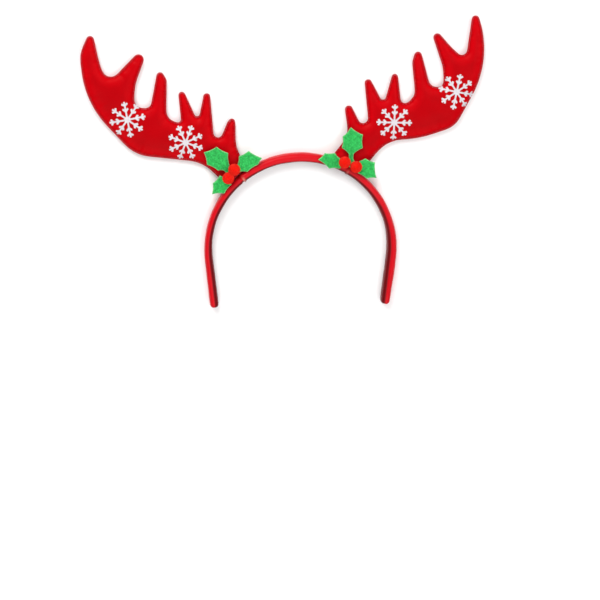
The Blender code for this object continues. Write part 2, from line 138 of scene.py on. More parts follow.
# The sewn edge and its stitches
EDGE_STEP = 1.2 * MM
EDGE_GRID = 6.0 * MM
EDGE_WAVE_LENGTH = 6.0 * MM
EDGE_WAVE_HEIGHT = 0.30 * MM
EDGE_ROUND = 0.25 * MM
EDGE_SHARP = radians(60.0)
EDGE_PAINTED_SHADE = 0.88               # painted shade of the sewn edge, as a share of the antlers' colour
STITCH_SIZE = (0.80 * MM, 0.23 * MM, 0.18 * MM)     # half its length, width and height
STITCH_LEAST_HEIGHT = 0.4 * MM

# Snowflakes, by the middle of each one and the heading of its first arm in degrees
Flake = namedtuple("Flake", "antler place x y turn")
FLAKES = [
    Flake("left", "outer", -138.5 * MM, 32.8 * MM, 9.5),
    Flake("left", "inner", -92.4 * MM, 13.7 * MM, 24.0),
    Flake("right", "outer", 127.0 * MM, 51.9 * MM, 34.0),
    Flake("right", "inner", 76.5 * MM, 27.6 * MM, -2.0),
]
FLAKE_ARMS = 8
# Half of one arm, as fractions of the reach: along the arm and out to its side
FLAKE_HALF_ARM = [
    (0.17, 0.046), (0.43, 0.046), (0.56, 0.178), (0.65, 0.125), (0.59, 0.048),
    (0.75, 0.046), (0.85, 0.188), (0.94, 0.138), (0.89, 0.052), (1.00, 0.050),
]
PRINT_BLOCK = 1.0 * MM          # half the height of the block that a print is cut from
EDGE_BLOCK = 5.0 * MM           # and of the block inside the antler's edge
PRINT_EDGE_STEP = 1.5 * MM
PRINT_FACING_UP = 0.5
PRINT_GRID = 1.1 * MM
PRINT_MERGE = 0.04 * MM
PRINT_SINK = 0.2 * MM           # how far a print's foot lies under the satin
PRINT_SHARP = radians(50.0)

# Holly sprigs: each corner of a leaf by its reach from the middle of the sprig in mm and its
# heading in degrees, going round to the left
Corner = namedtuple("Corner", "reach heading")
Leaf = namedtuple(
    "Leaf", "base_right low_right high_right tip high_left low_left base_left")
Sprig = namedtuple("Sprig", "x y leaves")
SPRIGS = {
    "left": Sprig(-56.1 * MM, -12.0 * MM, [
        Leaf(Corner(8.2, 14.6), Corner(12.9, 6.3), Corner(23.1, 19.2), Corner(28.2, 27.3),
             Corner(23.5, 53.1), Corner(15.6, 66.6), Corner(9.6, 56.6)),
        Leaf(Corner(7.2, 101.3), Corner(17.2, 97.7), Corner(25.3, 117.3), Corner(28.6, 140.4),
             Corner(21.1, 158.2), Corner(11.0, 165.3), Corner(7.1, 155.2)),
        Leaf(Corner(6.0, 208.7), Corner(9.3, 186.7), Corner(16.9, 206.3), Corner(23.0, 226.0),
             Corner(17.0, 249.6), Corner(8.5, 271.0), Corner(5.6, 244.9)),
    ]),
    "right": Sprig(41.4 * MM, -5.8 * MM, [
        Leaf(Corner(5.5, -48.1), Corner(8.8, -54.0), Corner(17.2, -43.1), Corner(23.8, -28.8),
             Corner(19.5, 4.0), Corner(12.5, 22.7), Corner(7.6, 21.0)),
        Leaf(Corner(8.6, 77.9), Corner(16.3, 54.9), Corner(26.1, 69.3), Corner(30.8, 91.4),
             Corner(24.1, 107.7), Corner(15.7, 120.0), Corner(8.7, 103.4)),
        Leaf(Corner(11.4, 150.5), Corner(16.6, 144.1), Corner(23.8, 155.5), Corner(27.9, 170.2),
             Corner(18.5, 189.3), Corner(9.9, 199.6), Corner(6.4, 186.5)),
    ]),
}
STEM_HALF_WIDTH = 1.8 * MM
STEM_FOOT = 4.2 * MM
BAY_PULL = 0.12                 # by the corners' distance; a bay is half as deep
BAY_SHARES = (0.25, 0.5, 0.75)
MIDRIB_REACH = 0.93             # of the way to the tip
VEIN_SLANT = 0.55               # how far down the midrib a vein starts, by its corner's distance
VEIN_REACH = 0.78               # of the way to its corner
VEIN_WIDTH = 0.5 * MM
FELT_VOXEL = 0.45 * MM
FELT_RIM = (0.18, 0.58, 0.21)   # paler colour towards the felt's rim
RIM_STEP = 0.4 * MM
LUMP_SIZE = 1.6 * MM
LUMP_HEIGHT = 0.07 * MM
LUMP_OCTAVES = (0.8, 2.0, 3)    # fall-off, growth and number
FELT_GAP = 0.3 * MM
SPRIG_LEAVES_BAND = 4.5 * MM    # past the band's middle line, where the felt starts to dip
SPRIG_DIP_LENGTH = 5.0 * MM
SPRIG_DIP = 1.0 * MM
LEAF_RISE = 1.6 * MM
LEAF_RISE_START = 9.0 * MM
LEAF_RISE_LENGTH = 20.0 * MM

BERRIES = ["left_upper", "left_lower", "right_inner", "right_outer"]
# A pompom's core and its fibres, as shares of its radius
CORE = 0.92
FIBRE_ROOT = 0.042
FIBRE_TIP = 0.018
FIBRE_SHORT = 0.08
FIBRE_LONG = 0.15
# Where a fibre starts, as a share of the core, and how far it leans from straight out
FIBRE_START = 0.97
FIBRE_LEAN = 0.28

# The satin's threads are drawn out along the second axis
THREAD_STRETCH = (1.0, 0.14, 1.0)

# Stage
LOOK_AT = Vector((0.0, -119.98, 7.0)) * MM
SENSOR = 36.0
FLOOR_HALF = 3.0
FLOOR_DROP = 0.1 * MM
WORLD_LIGHT = 0.36
Lamp = namedtuple("Lamp", "name place size power")
LAMPS = [
    Lamp("key", (-0.40, 0.95, 0.95), 0.8, 15.0),
    Lamp("fill", (0.75, 0.30, 1.20), 0.9, 6.0),
    Lamp("front", (0.0, -0.95, 1.40), 1.4, 13.0),
]


class BandSettings(PropertyGroup):
    satin: FloatVectorProperty(
        name="Satin", description="Colour of the satin cover", subtype="COLOR",
        default=(0.58, 0.0025, 0.009))
    # Painted shade: the inner face is given this dark colour in place of the shadow that falls
    # there.
    inner_shade: FloatVectorProperty(
        name="Lining", description="Colour of the ribbon on the inner face", subtype="COLOR",
        default=(0.13, 0.0004, 0.002))
    # Painted highlight: this pale colour stands in for light catching the tucks.
    fold_highlight: FloatVectorProperty(
        name="Fold", description="Pale colour where the tucks stretch the satin",
        subtype="COLOR", default=(0.70, 0.26, 0.20))
    fullness: FloatProperty(
        name="Fullness", description="How much fuller the right limb is on its outer side",
        default=1.6 * MM, unit="LENGTH")
    tuck_height: FloatProperty(
        name="Tuck height", description="How far the sewn tuck by each antler stands up",
        default=0.8 * MM, unit="LENGTH")


class AntlerSettings(PropertyGroup):
    satin: FloatVectorProperty(
        name="Satin", description="Colour of the antlers' fabric", subtype="COLOR",
        default=(0.47, 0.0003, 0.003))
    thread: FloatVectorProperty(
        name="Thread", description="Colour of the stitches", subtype="COLOR",
        default=(0.78, 0.11, 0.15))
    voxel: FloatProperty(
        name="Cloth grain", description="Size of the simulated cloth's cells",
        default=1.3 * MM, unit="LENGTH")
    lip: FloatProperty(
        name="Sewn edge", description="Width of the flat edge outside the stitches",
        default=0.85 * MM, unit="LENGTH")
    layers: FloatProperty(
        name="Layers", description="Thickness of the sewn layers at the edge",
        default=0.9 * MM, unit="LENGTH")
    pressure: FloatProperty(
        name="Stuffing", description="Pressure of the stuffing in the cloth simulation",
        default=20.0)
    most_swell: FloatProperty(
        name="Most swell", description="Most that the stuffing may move a point",
        default=1.6 * MM, unit="LENGTH")
    frames: IntProperty(
        name="Frames", description="Steps of the cloth simulation", default=12)
    stitch: FloatProperty(
        name="Stitch spacing", description="From one stitch to the next",
        default=2.5 * MM, unit="LENGTH")


class SnowflakeSettings(PropertyGroup):
    white: FloatVectorProperty(
        name="White", description="Colour of the raised print", subtype="COLOR",
        default=(0.70, 0.655, 0.69))
    reach: FloatProperty(
        name="Reach", description="From the middle to the end of an arm",
        default=14.5 * MM, unit="LENGTH")
    height: FloatProperty(
        name="Height", description="How far the print stands off the fabric",
        default=0.38 * MM, unit="LENGTH")


class HollySettings(PropertyGroup):
    green: FloatVectorProperty(
        name="Green", description="Colour of the felt", subtype="COLOR",
        default=(0.032, 0.44, 0.088))
    thickness: FloatProperty(
        name="Thickness", description="Thickness of the felt", default=1.3 * MM, unit="LENGTH")
    vein_depth: FloatProperty(
        name="Vein depth", description="How deep the veins are pressed into the felt",
        default=0.18 * MM, unit="LENGTH")


class BerrySettings(PropertyGroup):
    red: FloatVectorProperty(
        name="Red", description="Colour of the pompom yarn", subtype="COLOR",
        default=(1.0, 0.016, 0.006))
    fibres: IntProperty(
        name="Fibres", description="Number of fibre ends on each pompom", default=2600)


class StageSettings(PropertyGroup):
    distance: FloatProperty(
        name="Camera distance", description="From the camera to the middle of the picture",
        default=1.4, unit="LENGTH")
    pitch: FloatProperty(
        name="Camera pitch", description="How far the camera leans to the antler tips",
        default=radians(15.0), subtype="ANGLE")
    yaw: FloatProperty(
        name="Camera yaw", description="How far the camera stands to the left",
        default=radians(5.0), subtype="ANGLE")
    width: FloatProperty(
        name="Picture width", description="Width that the picture shows at that distance",
        default=0.498, unit="LENGTH")
    floor: FloatVectorProperty(
        name="Floor", description="Colour of the floor", subtype="COLOR",
        default=(0.97, 0.97, 0.97))


def add_object(name, bm):
    """Turn a bmesh into a smooth object at the origin."""
    mesh = bpy.data.meshes.new(name)
    bm.to_mesh(mesh)
    bm.free()
    mesh.shade_smooth()
    obj = bpy.data.objects.new(name, mesh)
    bpy.context.scene.collection.objects.link(obj)
    return obj


def hand_over(obj, material, slot, *nodes):
    """Give a finished piece its material, its body and the nodes it stands for; the slot is not
    used.
    """
    obj.data.materials.clear()
    obj.data.materials.append(material)
    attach(obj, BODY)
    if nodes:
        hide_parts(*nodes)


def apply_modifiers(obj):
    """Make an object's evaluated mesh its own, and drop the modifiers."""
    graph = bpy.context.evaluated_depsgraph_get()
    mesh = bpy.data.meshes.new_from_object(obj.evaluated_get(graph))
    plain = obj.data
    obj.modifiers.clear()
    obj.data = mesh
    bpy.data.meshes.remove(plain)
    mesh.name = obj.name
    mesh.shade_smooth()


def voxel_remesh(obj, size):
    remesh = obj.modifiers.new("Voxels", "REMESH")
    remesh.mode = "VOXEL"
    remesh.voxel_size = size
    apply_modifiers(obj)


def subdivide(obj, levels):
    surface = obj.modifiers.new("Subdivision", "SUBSURF")
    surface.levels = surface.render_levels = levels
    apply_modifiers(obj)


def points_of(obj):
    """An object's vertices as an array of positions."""
    flat = np.empty(len(obj.data.vertices) * 3)
    obj.data.vertices.foreach_get("co", flat)
    return flat.reshape(-1, 3)


def set_points(obj, points):
    obj.data.vertices.foreach_set("co", np.ascontiguousarray(points, dtype=float).ravel())
    obj.data.update()


def normals_of(obj):
    flat = np.empty(len(obj.data.vertices) * 3)
    obj.data.vertices.foreach_get("normal", flat)
    return flat.reshape(-1, 3)


def store(obj, name, values):
    """Keep one number for each vertex, for the material to read."""
    attribute = obj.data.attributes.new(name, "FLOAT", "POINT")
    attribute.data.foreach_set("value", np.asarray(values, dtype=np.float32))


def node_bmesh(node):
    """A merged copy of a CAD node's mesh."""
    bm = bmesh.new()
    bm.from_mesh(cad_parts[node].data)
    bmesh.ops.remove_doubles(bm, verts=bm.verts[:], dist=MERGE)
    bm.normal_update()
    return bm


def front_border(node):
    """The border of a node's front, once round to the left, without its slivers' corners."""
    bm = node_bmesh(node)
    following = {}
    for edge in bm.edges:
        front = [f for f in edge.link_faces if f.normal.z > FACING_FRONT]
        if len(front) == 1:
            loop = next(loop for loop in front[0].loops if loop.edge == edge)
            following.setdefault(loop.vert, []).append(loop.link_loop_next.vert)
    border = []
    while following:
        walk = [next(iter(following))]
        while walk[-1] in following:
            ahead = following[walk[-1]]
            step = ahead.pop()
            if not ahead:
                del following[walk[-1]]
            walk.append(step)
        border = max(border, walk, key=len)
    points = []
    for vert in border[:-1]:
        if not points or (vert.co - points[-1]).length > SLIVER:
            points.append(vert.co.copy())
    bm.free()
    return points


def spaced(points, step):
    """A closed line of points with even steps added along its sides."""
    result = []
    for k, start in enumerate(points):
        end = points[(k + 1) % len(points)]
        parts = max(1, ceil((end - start).length / step))
        result += [start.lerp(end, part / parts) for part in range(parts)]
    return result


def rounded_loop(points, step):
    """A smooth closed line through the points of a loop, with even steps along it."""
    count = len(points)
    tangents = [(points[(k + 1) % count] - points[k - 1]).normalized() for k in range(count)]
    result = []
    for k, start in enumerate(points):
        end = points[(k + 1) % count]
        length = (end - start).length
        pull, push = tangents[k] * length, tangents[(k + 1) % count] * length
        parts = max(1, ceil(length / step))
        for part in range(parts):
            t = part / parts
            a, b = 2 * t ** 3 - 3 * t ** 2 + 1, t ** 3 - 2 * t ** 2 + t
            result.append(start * a + pull * b + end * (1 - a) + push * (t ** 3 - t ** 2))
    return result


def lift_at(side, x):
    share = np.maximum(0.0, (np.abs(x) - LIFT_START) / LIFT_LENGTH)
    return LIFT[side] * share ** 2


def antler_outline(side, step):
    """The antler's sewn edge, in the plane of its seam."""
    loop = rounded_loop(front_border(f"antler_{side}"), step)
    return [Vector((p.x, p.y, SEAM_HEIGHT + float(lift_at(side, p.x)))) for p in loop]


def nearest_on(outline, points):
    """For each point, its distance to an outline and how far along the outline that is."""
    tree = KDTree(len(outline))
    along = [0.0]
    for k, point in enumerate(outline):
        tree.insert((point.x, point.y, 0.0), k)
        along.append(along[-1] + (outline[(k + 1) % len(outline)] - point).length)
    tree.balance()
    found = [tree.find((x, y, 0.0)) for x, y in points[:, :2]]
    return np.array([f[2] for f in found]), np.array([along[f[1]] for f in found])


def swell(obj, group, settings):
    """Blow the stuffing into a cloth body whose pinned points stay where they are."""
    cloth = obj.modifiers.new("Cloth", "CLOTH")
    fabric = cloth.settings
    for name, value in CLOTH.items():
        setattr(fabric, name, value)
    fabric.use_pressure = True
    fabric.uniform_pressure_force = settings.pressure
    fabric.vertex_group_mass = group
    fabric.effector_weights.gravity = 0.0
    cloth.collision_settings.use_collision = False
    cloth.point_cache.frame_start = 1
    cloth.point_cache.frame_end = settings.frames
    before = points_of(obj)
    for step in range(1, settings.frames + 1):
        bpy.context.scene.frame_set(step)
    apply_modifiers(obj)
    move = points_of(obj) - before
    far = np.linalg.norm(move, axis=1, keepdims=True) + MERGE
    set_points(obj, before + move * np.tanh(far / settings.most_swell) * settings.most_swell / far)


def antler_body(side, outline, settings):
    """The stuffed body: the frame's antler, drawn in to the stitches, then swelled as cloth."""
    bm = node_bmesh(f"antler_{side}")
    for vert in bm.verts:
        vert.co -= vert.normal * settings.lip
    obj = add_object(f"antler_{side}_satin", bm)
    voxel_remesh(obj, settings.voxel)
    points = points_of(obj)
    distance, _ = nearest_on(outline, points)
    group = obj.vertex_groups.new(name="seam")
    pinned = np.nonzero(distance < settings.lip + settings.voxel)[0]
    group.add([int(k) for k in pinned], 1.0, "REPLACE")
    swell(obj, "seam", settings)
    bm = bmesh.new()
    bm.from_mesh(obj.data)
    for _ in range(SMOOTH_PASSES):
        bmesh.ops.smooth_vert(bm, verts=bm.verts[:], factor=0.5, use_axis_x=True,
                              use_axis_y=True, use_axis_z=True)
    bm.to_mesh(obj.data)
    bm.free()
    obj.vertex_groups.clear()
    subdivide(obj, levels=1)
    pucker(obj, outline)
    return obj


def pucker(obj, outline):
    """Small pleats along the seam and slow waves over the whole body."""
    points = points_of(obj)
    normals = normals_of(obj)
    distance, along = nearest_on(outline, points)
    wave = np.array([noise.noise(Vector(p) / WAVE_LENGTH) for p in points])
    pleat = np.array([noise.noise(Vector((s / PLEAT_LENGTH, 0.0, z / PLEAT_RISE)))
                      for s, z in zip(along, points[:, 2])])
    fade = np.exp(-distance / PLEAT_REACH) * np.minimum(1.0, distance / PLEAT_START)
    waves = WAVE_HEIGHT * wave * np.minimum(1.0, distance / WAVE_START)
    move = waves + PLEAT_HEIGHT * pleat * fade
    points += normals * move[:, None]
    points[:, 2] = np.maximum(points[:, 2], LEAST_HEIGHT)
    set_points(obj, points)
    store(obj, "seam", distance / MM)


def antler_lip(side, settings):
    """The flat sewn edge: one thin plate that fills the outline and runs through the body."""
    bm = bmesh.new()
    bm.faces.new([bm.verts.new((p.x, p.y, 0.0)) for p in antler_outline(side, EDGE_STEP)])
    cut_grid(bm, bm.faces[:], EDGE_GRID)
    bm.normal_update()
    raised = bmesh.ops.extrude_face_region(bm, geom=bm.faces[:], use_keep_orig=True)
    top = {v for v in raised["geom"] if isinstance(v, bmesh.types.BMVert)}
    for vert in bm.verts:
        wave = noise.noise(vert.co / EDGE_WAVE_LENGTH) * EDGE_WAVE_HEIGHT
        layer = settings.layers / 2 if vert in top else -settings.layers / 2
        vert.co.z = SEAM_HEIGHT + float(lift_at(side, vert.co.x)) + layer + wave
    bmesh.ops.recalc_face_normals(bm, faces=bm.faces[:])
    sharp = [e for e in bm.edges if e.calc_face_angle(0.0) > EDGE_SHARP]
    bmesh.ops.bevel(bm, geom=sharp, offset=EDGE_ROUND, offset_type="OFFSET", segments=2,
                    profile=0.5, affect="EDGES", material=-1, clamp_overlap=True)
    return add_object(f"antler_{side}_edge", bm)


def surface_of(*objects):
    """A tree of the objects' faces, to drop points onto."""
    bm = bmesh.new()
    for obj in objects:
        bm.from_mesh(obj.data)
    tree = BVHTree.FromBMesh(bm)
    bm.free()
    return tree


def drop(tree, x, y, from_above=True):
    """Height of the first face that a plumb line meets, or None."""
    start, way = (1.0, -1.0) if from_above else (-1.0, 1.0)
    hit = tree.ray_cast(Vector((x, y, start)), Vector((0.0, 0.0, way)))[0]
    return None if hit is None else hit.z


def copies(shape, places):
    """One bmesh that holds a copy of a small shape, moved to each of the places."""
    mesh = bpy.data.meshes.new("shape")
    shape.to_mesh(mesh)
    corners = len(shape.verts)
    shape.free()
    bm = bmesh.new()
    for _ in places:
        bm.from_mesh(mesh)
    bpy.data.meshes.remove(mesh)
    verts = bm.verts[:]
    for k, place in enumerate(places):
        for vert in verts[corners * k:corners * (k + 1)]:
            vert.co = place @ vert.co
    return bm


def antler_stitches(side, surface, settings):
    """Short stitches on both sides of the antler, just inside its edge."""
    outline = antler_outline(side, settings.stitch)
    shape = bmesh.new()
    bmesh.ops.create_uvsphere(shape, u_segments=6, v_segments=4, radius=1.0)
    size = Matrix.Diagonal((*STITCH_SIZE, 1.0))
    places = []
    for k, point in enumerate(outline):
        ahead = outline[(k + 1) % len(outline)] - outline[k - 1]
        turn = Matrix.Rotation(atan2(ahead.y, ahead.x), 4, "Z")
        inward = Vector((-ahead.y, ahead.x, 0.0)).normalized()
        spot = point + inward * settings.lip
        for above in (True, False):
            z = drop(surface, spot.x, spot.y, above)
            if z is not None and z > STITCH_LEAST_HEIGHT:
                places.append(Matrix.Translation((spot.x, spot.y, z)) @ turn @ size)
    return add_object(f"antler_{side}_stitches", copies(shape, places))


def cut_grid(bm, faces, step):
    """Cut flat faces along the lines of a square grid."""
    xs = [v.co.x for f in faces for v in f.verts]
    ys = [v.co.y for f in faces for v in f.verts]
    for low, high, normal in ((min(xs), max(xs), (1, 0, 0)), (min(ys), max(ys), (0, 1, 0))):
        lines = ceil((high - low) / step)
        for k in range(1, lines):
            at = low + (high - low) * k / lines
            bmesh.ops.bisect_plane(bm, geom=bm.verts[:] + bm.edges[:] + bm.faces[:],
                                   plane_no=normal,
                                   plane_co=(at * normal[0], at * normal[1], 0.0))


def flake_outline(flake, reach):
    points = []
    for k in range(FLAKE_ARMS):
        heading = radians(flake.turn) + 2 * pi * k / FLAKE_ARMS
        side = [(a, -b) for a, b in FLAKE_HALF_ARM] + [(a, b) for a, b in reversed(FLAKE_HALF_ARM)]
        for a, b in side:
            points.append((flake.x + reach * (a * cos(heading) - b * sin(heading)),
                           flake.y + reach * (a * sin(heading) + b * cos(heading))))
    return points


def prism(name, outline, low, high):
    """A straight block between two heights, over an outline."""
    bm = bmesh.new()
    face = bm.faces.new([bm.verts.new((p[0], p[1], low)) for p in outline])
    raised = bmesh.ops.extrude_face_region(bm, geom=[face], use_keep_orig=True)
    top = [v for v in raised["geom"] if isinstance(v, bmesh.types.BMVert)]
    bmesh.ops.translate(bm, verts=top, vec=(0.0, 0.0, high - low))
    bmesh.ops.recalc_face_normals(bm, faces=bm.faces[:])
    return add_object(name, bm)


def snowflake(flake, surface, outline, settings):
    """A raised print that follows the satin and ends where the antler's edge turns away."""
    name = f"snowflake_{flake.antler}_{flake.place}"
    obj = prism(f"{name}_print", flake_outline(flake, settings.reach), -PRINT_BLOCK, PRINT_BLOCK)
    inside = prism("inside_the_edge", [(p.x, p.y) for p in outline], -EDGE_BLOCK, EDGE_BLOCK)
    keep = obj.modifiers.new("Keep", "BOOLEAN")
    keep.operation = "INTERSECT"
    keep.object = inside
    apply_modifiers(obj)
    bpy.data.objects.remove(inside)
    bm = bmesh.new()
    bm.from_mesh(obj.data)
    bm.normal_update()
    spare = [f for f in bm.faces if f.normal.z < PRINT_FACING_UP]
    bmesh.ops.delete(bm, geom=spare, context="FACES")
    cut_grid(bm, bm.faces[:], PRINT_GRID)
    bmesh.ops.remove_doubles(bm, verts=bm.verts[:], dist=PRINT_MERGE)
    bmesh.ops.triangulate(bm, faces=bm.faces[:])
    raised = bmesh.ops.extrude_face_region(bm, geom=bm.faces[:], use_keep_orig=True)
    top = {v for v in raised["geom"] if isinstance(v, bmesh.types.BMVert)}
    for vert in bm.verts:
        z = drop(surface, vert.co.x, vert.co.y)
        if z is None:
            z = SEAM_HEIGHT + float(lift_at(flake.antler, vert.co.x))
        vert.co.z = z + (settings.height if vert in top else -PRINT_SINK)
    bmesh.ops.recalc_face_normals(bm, faces=bm.faces[:])
    bm.to_mesh(obj.data)
    bm.free()
    obj.data.set_sharp_from_angle(angle=PRINT_SHARP)
    return obj


def polar(corner):
    reach, heading = corner.reach * MM, radians(corner.heading)
    return Vector((reach * cos(heading), reach * sin(heading), 0.0))


def leaf_outline(leaf):
    """A holly leaf about the middle of its sprig: spiny corners with round bays between."""
    corners = [polar(corner) for corner in leaf]
    axis = polar(Corner(1.0, leaf.tip.heading)).normalized()
    across = Vector((-axis.y, axis.x, 0.0))
    foot = [axis * STEM_FOOT + across * STEM_HALF_WIDTH * side for side in (-1, 1)]
    points = [foot[0], corners[0]]
    for start, end in zip(corners, corners[1:]):
        way = end - start
        bay = (start + end) / 2 + Vector((-way.y, way.x, 0.0)) * BAY_PULL
        for t in BAY_SHARES:
            points.append(start * (1 - t) ** 2 + bay * 2 * t * (1 - t) + end * t ** 2)
        points.append(end)
    return points + [foot[1]]


def leaf_veins(leaf):
    """The pressed lines of a leaf: the midrib and one vein to each spiny corner."""
    tip = polar(leaf.tip)
    axis = tip.normalized()
    veins = [(axis * STEM_FOOT, tip * MIDRIB_REACH)]
    for corner in (leaf.low_right, leaf.high_right, leaf.high_left, leaf.low_left):
        point = polar(corner)
        root = axis * (point.dot(axis) - VEIN_SLANT * abs(point.cross(axis).z))
        veins.append((root, root + (point - root) * VEIN_REACH))
    return veins


def bell(values, width):
    """One at zero, and falling away on both sides over a width."""
    return np.exp(-(values / width) ** 2)


def ramp(values, start, length):
    """Rising from 0 to 1 over a length, and level before and after it."""
    return np.clip((values - start) / length, 0.0, 1.0)


def segment_distance(points, start, end):
    way = np.array(end[:2]) - np.array(start[:2])
    offset = points[:, :2] - np.array(start[:2])
    share = np.clip(offset @ way / (way @ way), 0.0, 1.0)
    return np.hypot(*(offset - share[:, None] * way).T)


def holly(side, settings):
    """A felt sprig: the cut shape remeshed into a soft-edged sheet, veined and uneven."""
    sprig = SPRIGS[side]
    centre = Vector((sprig.x, sprig.y, 0.0))
    outline = [centre + p for leaf in sprig.leaves for p in leaf_outline(leaf)]
    obj = prism(f"holly_{side}_felt", outline, 0.0, settings.thickness)
    voxel_remesh(obj, FELT_VOXEL)
    points = points_of(obj)
    rim, _ = nearest_on(spaced(outline, RIM_STEP), points)
    veins = [(centre + a, centre + b) for leaf in sprig.leaves for a, b in leaf_veins(leaf)]
    groove_and_shade = np.zeros(len(points))
    for a, b in veins:
        groove_and_shade = np.maximum(groove_and_shade, bell(segment_distance(points, a, b), VEIN_WIDTH))
    level = np.array([felt_height(sprig, x, y) for x, y in points[:, :2]])
    top = np.clip(points[:, 2] / settings.thickness, 0.0, 1.0)
    lumps = np.array([noise.fractal(Vector(p) / LUMP_SIZE, *LUMP_OCTAVES) for p in points])
    points[:, 2] += level - top * groove_and_shade * settings.vein_depth + LUMP_HEIGHT * lumps
    set_points(obj, points)
    store(obj, "rim", rim / MM)
    store(obj, "vein", groove_and_shade)
    return obj, outline


def felt_height(sprig, x, y):
    """Height of a sprig's underside: on the band's front, then on the antler, tips lifting."""
    past_band = hypot(x, y + ARCH_RADIUS) - ARCH_RADIUS
    dip = max(0.0, min(1.0, (past_band - SPRIG_LEAVES_BAND) / SPRIG_DIP_LENGTH))
    rise = max(0.0, (hypot(x - sprig.x, y - sprig.y) - LEAF_RISE_START) / LEAF_RISE_LENGTH)
    return BAND_WIDTH + FELT_GAP - dip * SPRIG_DIP + LEAF_RISE * rise ** 2


def pompom(name, settings):
    """A round tuft of yarn ends on a small core."""
    low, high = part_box(f"berry_{name}")
    centre = (low + high) / 2
    radius = max(high.x - low.x, high.y - low.y) / 2
    squash = (high.z - low.z) / 2 / radius
    draw = random.Random(f"berry {name}")
    core = radius * CORE
    shape = bmesh.new()
    bmesh.ops.create_cone(shape, segments=3, cap_ends=False, radius1=radius * FIBRE_ROOT,
                          radius2=radius * FIBRE_TIP, depth=1.0)
    places = []
    golden = pi * (3.0 - sqrt(5.0))
    for k in range(settings.fibres):
        z = 1.0 - 2.0 * (k + 0.5) / settings.fibres
        level = sqrt(1.0 - z * z)
        out = Vector((level * cos(golden * k), level * sin(golden * k), z))
        lean = Vector((draw.gauss(0, 1), draw.gauss(0, 1), draw.gauss(0, 1)))
        lean *= FIBRE_LEAN
        way = (out + lean).normalized()
        length = radius * draw.uniform(FIBRE_SHORT, FIBRE_LONG)
        places.append(Matrix.Translation(out * core * FIBRE_START + way * length / 2)
                      @ way.to_track_quat("Z", "Y").to_matrix().to_4x4()
                      @ Matrix.Diagonal((1.0, 1.0, length, 1.0)))
    bm = copies(shape, places)
    bmesh.ops.create_icosphere(bm, subdivisions=3, radius=core)
    for vert in bm.verts:
        vert.co.z *= squash
        vert.co += centre
    obj = add_object(f"berry_{name}_pompom", bm)
    points = points_of(obj)
    offset = points - np.array(centre)
    offset[:, 2] /= squash
    store(obj, "depth", np.linalg.norm(offset, axis=1) / radius)
    return obj


def band_place(points):
    """For each point of the band: how far along it lies and how far out."""
    x, y = points[:, 0], points[:, 1] + ARCH_RADIUS
    turn = np.arctan2(np.abs(x), y)
    end = radians(ARCH_END_TURN)
    start = np.array([sin(end), cos(end)]) * ARCH_RADIUS
    down = np.array([cos(end), -sin(end)])
    across = np.array([sin(end), cos(end)])
    local = np.stack([np.abs(x), y], axis=1) - start
    past = local @ down
    on_limb = (turn > end) | (past > 0)
    along = np.where(on_limb, ARCH_RADIUS * end + past, ARCH_RADIUS * turn)
    out = np.where(on_limb, local @ across, np.hypot(x, y) - ARCH_RADIUS)
    return np.sign(x) * along, out


def band_cover(settings):
    """The padded satin hoop, rounded from the frame's own, with its tucks, painted shade on its
    inner face and a painted highlight along the tucks.
    """
    bm = node_bmesh("band")
    bmesh.ops.join_triangles(bm, faces=bm.faces[:], angle_face_threshold=BAND_JOIN_FACE,
                             angle_shape_threshold=BAND_JOIN_SHAPE)
    obj = add_object("band_satin", bm)
    subdivide(obj, levels=3)
    points = points_of(obj)
    normals = normals_of(obj)
    along, out = band_place(points)
    middle = BAND_WIDTH / 2
    height = points[:, 2] - middle
    reach = np.abs(along)
    # Painted shade on the inner face, reaching farther out on the limbs
    start = INNER_SHADE_TOP + INNER_SHADE_SHIFT * ramp(reach, 0.0, INNER_SHADE_RAMP)
    inner_shade = np.clip((start - out) / INNER_SHADE_BLEND + 0.5, 0.0, 1.0)
    waves = np.array([noise.noise(Vector((s / WRINKLE_LENGTH, o / WRINKLE_WIDTH,
                                          h / WRINKLE_WIDTH)))
                      for s, o, h in zip(along, out, height)])
    limb = ramp(reach, LIMB_START, LIMB_RAMP)
    outer = ramp(out, 0.0, MM) * (along > 0) * (1.0 - ramp(reach, END_START, END_RAMP))
    move = BAND_FULLER + LIMB_FULLER * limb + WRINKLE_HEIGHT * waves
    move += settings.fullness * limb * outer
    tuck = np.zeros(len(points))
    for turn, size in TUCKS:
        near = along - radians(turn) * ARCH_RADIUS
        ridge = bell(near, TUCK_WIDTH) - FURROW_DEPTH * bell(near + FURROW_OFFSET, FURROW_WIDTH)
        tuck += size * ridge * (points[:, 2] > middle)
    move += settings.tuck_height * tuck
    points += normals * move[:, None]
    points[:, 2] = np.maximum(points[:, 2], 0.0)
    set_points(obj, points)
    store(obj, "inner_shade", inner_shade)
    # Painted highlight: a pale streak where each tuck rises on the front, near the middle line
    store(obj, "tuck", np.clip(tuck, 0.0, 1.0) * bell(out + FOLD_HIGHLIGHT_INWARD, FOLD_HIGHLIGHT_REACH))
    uv = obj.data.uv_layers.new(name="cloth")
    corner_vertex = np.empty(len(obj.data.loops), dtype=np.int32)
    obj.data.loops.foreach_get("vertex_index", corner_vertex)
    around = np.arctan2(height, out) * CLOTH_RADIUS
    flat = np.stack([along[corner_vertex], around[corner_vertex]], axis=1)
    uv.data.foreach_set("uv", flat.astype(np.float32).ravel())
    return obj


def add_node(tree, kind, inputs=None, **properties):
    """A node with its properties set, and its inputs linked or given plain values."""
    made = tree.nodes.new(kind)
    for name, value in properties.items():
        setattr(made, name, value)
    for name, value in (inputs or {}).items():
        if isinstance(value, bpy.types.NodeSocket):
            tree.links.new(value, made.inputs[name])
        else:
            made.inputs[name].default_value = value
    return made


